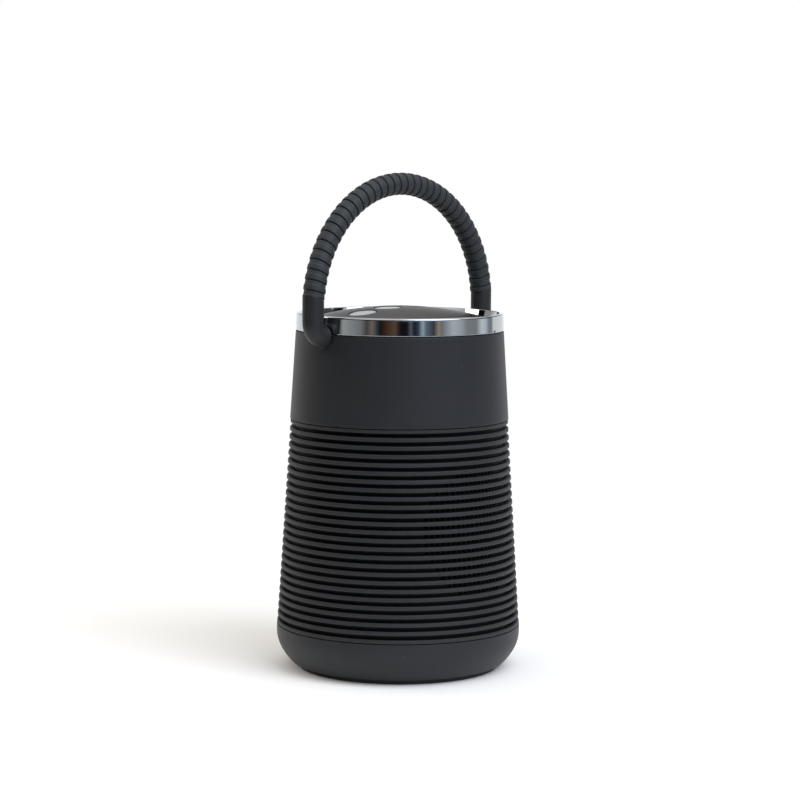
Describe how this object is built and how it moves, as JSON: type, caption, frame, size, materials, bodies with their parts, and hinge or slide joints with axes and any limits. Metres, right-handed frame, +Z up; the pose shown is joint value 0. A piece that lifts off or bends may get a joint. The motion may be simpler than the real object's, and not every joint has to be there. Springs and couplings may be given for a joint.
{
  "type": "shower speaker",
  "caption": "Portable splash-proof speaker: tapered ribbed body with a round sound opening, chromed rim, domed top with four push buttons, swinging hose handle, hinged port cover.",
  "frame": {"origin": "centre of the foot's underside, on the body axis", "axes": "+Z up along the body axis; -Y is where the driver and its sound opening face; X is the handle's pivot axis and the line of the four buttons"},
  "size_m": [0.0962, 0.0906, 0.1832],
  "materials": {
    "soft_touch_abs": "soft-touch satin",
    "ribbed_tpe": "moulded matt",
    "rubber_black": "matt",
    "chrome_plated_abs": "mirror",
    "satin_panel": "satin",
    "button_silver": "satin metallic",
    "zinc_steel": "zinc plated",
    "nylon_black": "moulded matt",
    "acetal_white": "moulded",
    "silicone_grey": "moulded",
    "circuit_board": "solder mask",
    "cone_paper": "coated paper",
    "ferrite": "sintered",
    "pressed_steel": "painted",
    "gasket_foam": "closed-cell foam",
    "woven_screen": "water-repellent weave",
    "cell_wrap": "shrink film",
    "hose_tpe": "moulded matt"
  },
  "bodies": {
    "housing": {"acoustic_mesh": "woven_screen", "aux_jack": "nylon_black", "base_cup": "soft_touch_abs", "base_screw_1": "zinc_steel", "base_screw_2": "zinc_steel", "base_screw_3": "zinc_steel", "base_screw_4": "zinc_steel", "base_seal": "silicone_grey", "battery_cell": "cell_wrap", "battery_holder": "nylon_black", "board_screw_1": "zinc_steel", "board_screw_2": "zinc_steel", "control_board": "circuit_board", "driver_basket": "pressed_steel", "driver_gasket": "gasket_foam", "driver_magnet": "ferrite", "driver_screw_1": "zinc_steel", "driver_screw_2": "zinc_steel", "driver_screw_3": "zinc_steel", "driver_screw_4": "zinc_steel", "driver_surround": "rubber_black", "foot_ring": "rubber_black", "inner_chassis": "nylon_black", "keypad_mat": "silicone_grey", "main_board": "circuit_board", "pivot_bush_left": "acetal_white", "pivot_bush_right": "acetal_white", "port_board": "circuit_board", "port_tray": "nylon_black", "ribbed_sleeve": "ribbed_tpe", "shell_seal": "silicone_grey", "tact_switch_1": "nylon_black", "tact_switch_2": "nylon_black", "tact_switch_3": "nylon_black", "tact_switch_4": "nylon_black", "top_panel": "satin_panel", "trim_ring": "chrome_plated_abs", "upper_shell": "soft_touch_abs", "usb_c_jack": "zinc_steel"},
    "handle": {"handle_grip": "hose_tpe", "handle_core": "zinc_steel", "handle_elbow_left": "nylon_black", "handle_elbow_right": "nylon_black", "pivot_pin_left": "zinc_steel", "pivot_pin_right": "zinc_steel", "pivot_clip_left": "zinc_steel", "pivot_clip_right": "zinc_steel"},
    "driver_moving": {"driver_cone": "cone_paper", "driver_dust_cap": "cone_paper"},
    "flap": {"port_flap": "rubber_black"},
    "button_1_cap": {"button_1": "button_silver"},
    "button_2_cap": {"button_2": "button_silver"},
    "button_3_cap": {"button_3": "button_silver"},
    "button_4_cap": {"button_4": "button_silver"}
  },
  "joints": [
    {"name": "handle_swing", "type": "hinge", "parent": "housing", "child": "handle", "pos_m": [0, 0, 0.1247], "axis": [1, 0, 0], "range_deg": [-118, 118]},
    {"name": "port_flap_hinge", "type": "hinge", "parent": "housing", "child": "flap", "pos_m": [-0.0117, 0.03766, 0.108], "axis": [0, 0, 1], "range_deg": [0, 110]},
    {"name": "driver_excursion", "type": "slide", "parent": "housing", "child": "driver_moving", "axis": [0, -1, 0], "range_m": [-0.0012, 0.0012], "stiffness_N_per_m": 1500},
    {"name": "button_1_press", "type": "slide", "parent": "housing", "child": "button_1_cap", "axis": [0, 0, -1], "range_m": [0, 0.0005], "stiffness_N_per_m": 2500, "springref_m": -0.0001},
    {"name": "button_2_press", "type": "slide", "parent": "housing", "child": "button_2_cap", "axis": [0, 0, -1], "range_m": [0, 0.0005], "stiffness_N_per_m": 2500, "springref_m": -0.0001},
    {"name": "button_3_press", "type": "slide", "parent": "housing", "child": "button_3_cap", "axis": [0, 0, -1], "range_m": [0, 0.0005], "stiffness_N_per_m": 2500, "springref_m": -0.0001},
    {"name": "button_4_press", "type": "slide", "parent": "housing", "child": "button_4_cap", "axis": [0, 0, -1], "range_m": [0, 0.0005], "stiffness_N_per_m": 2500, "springref_m": -0.0001}
  ]
}
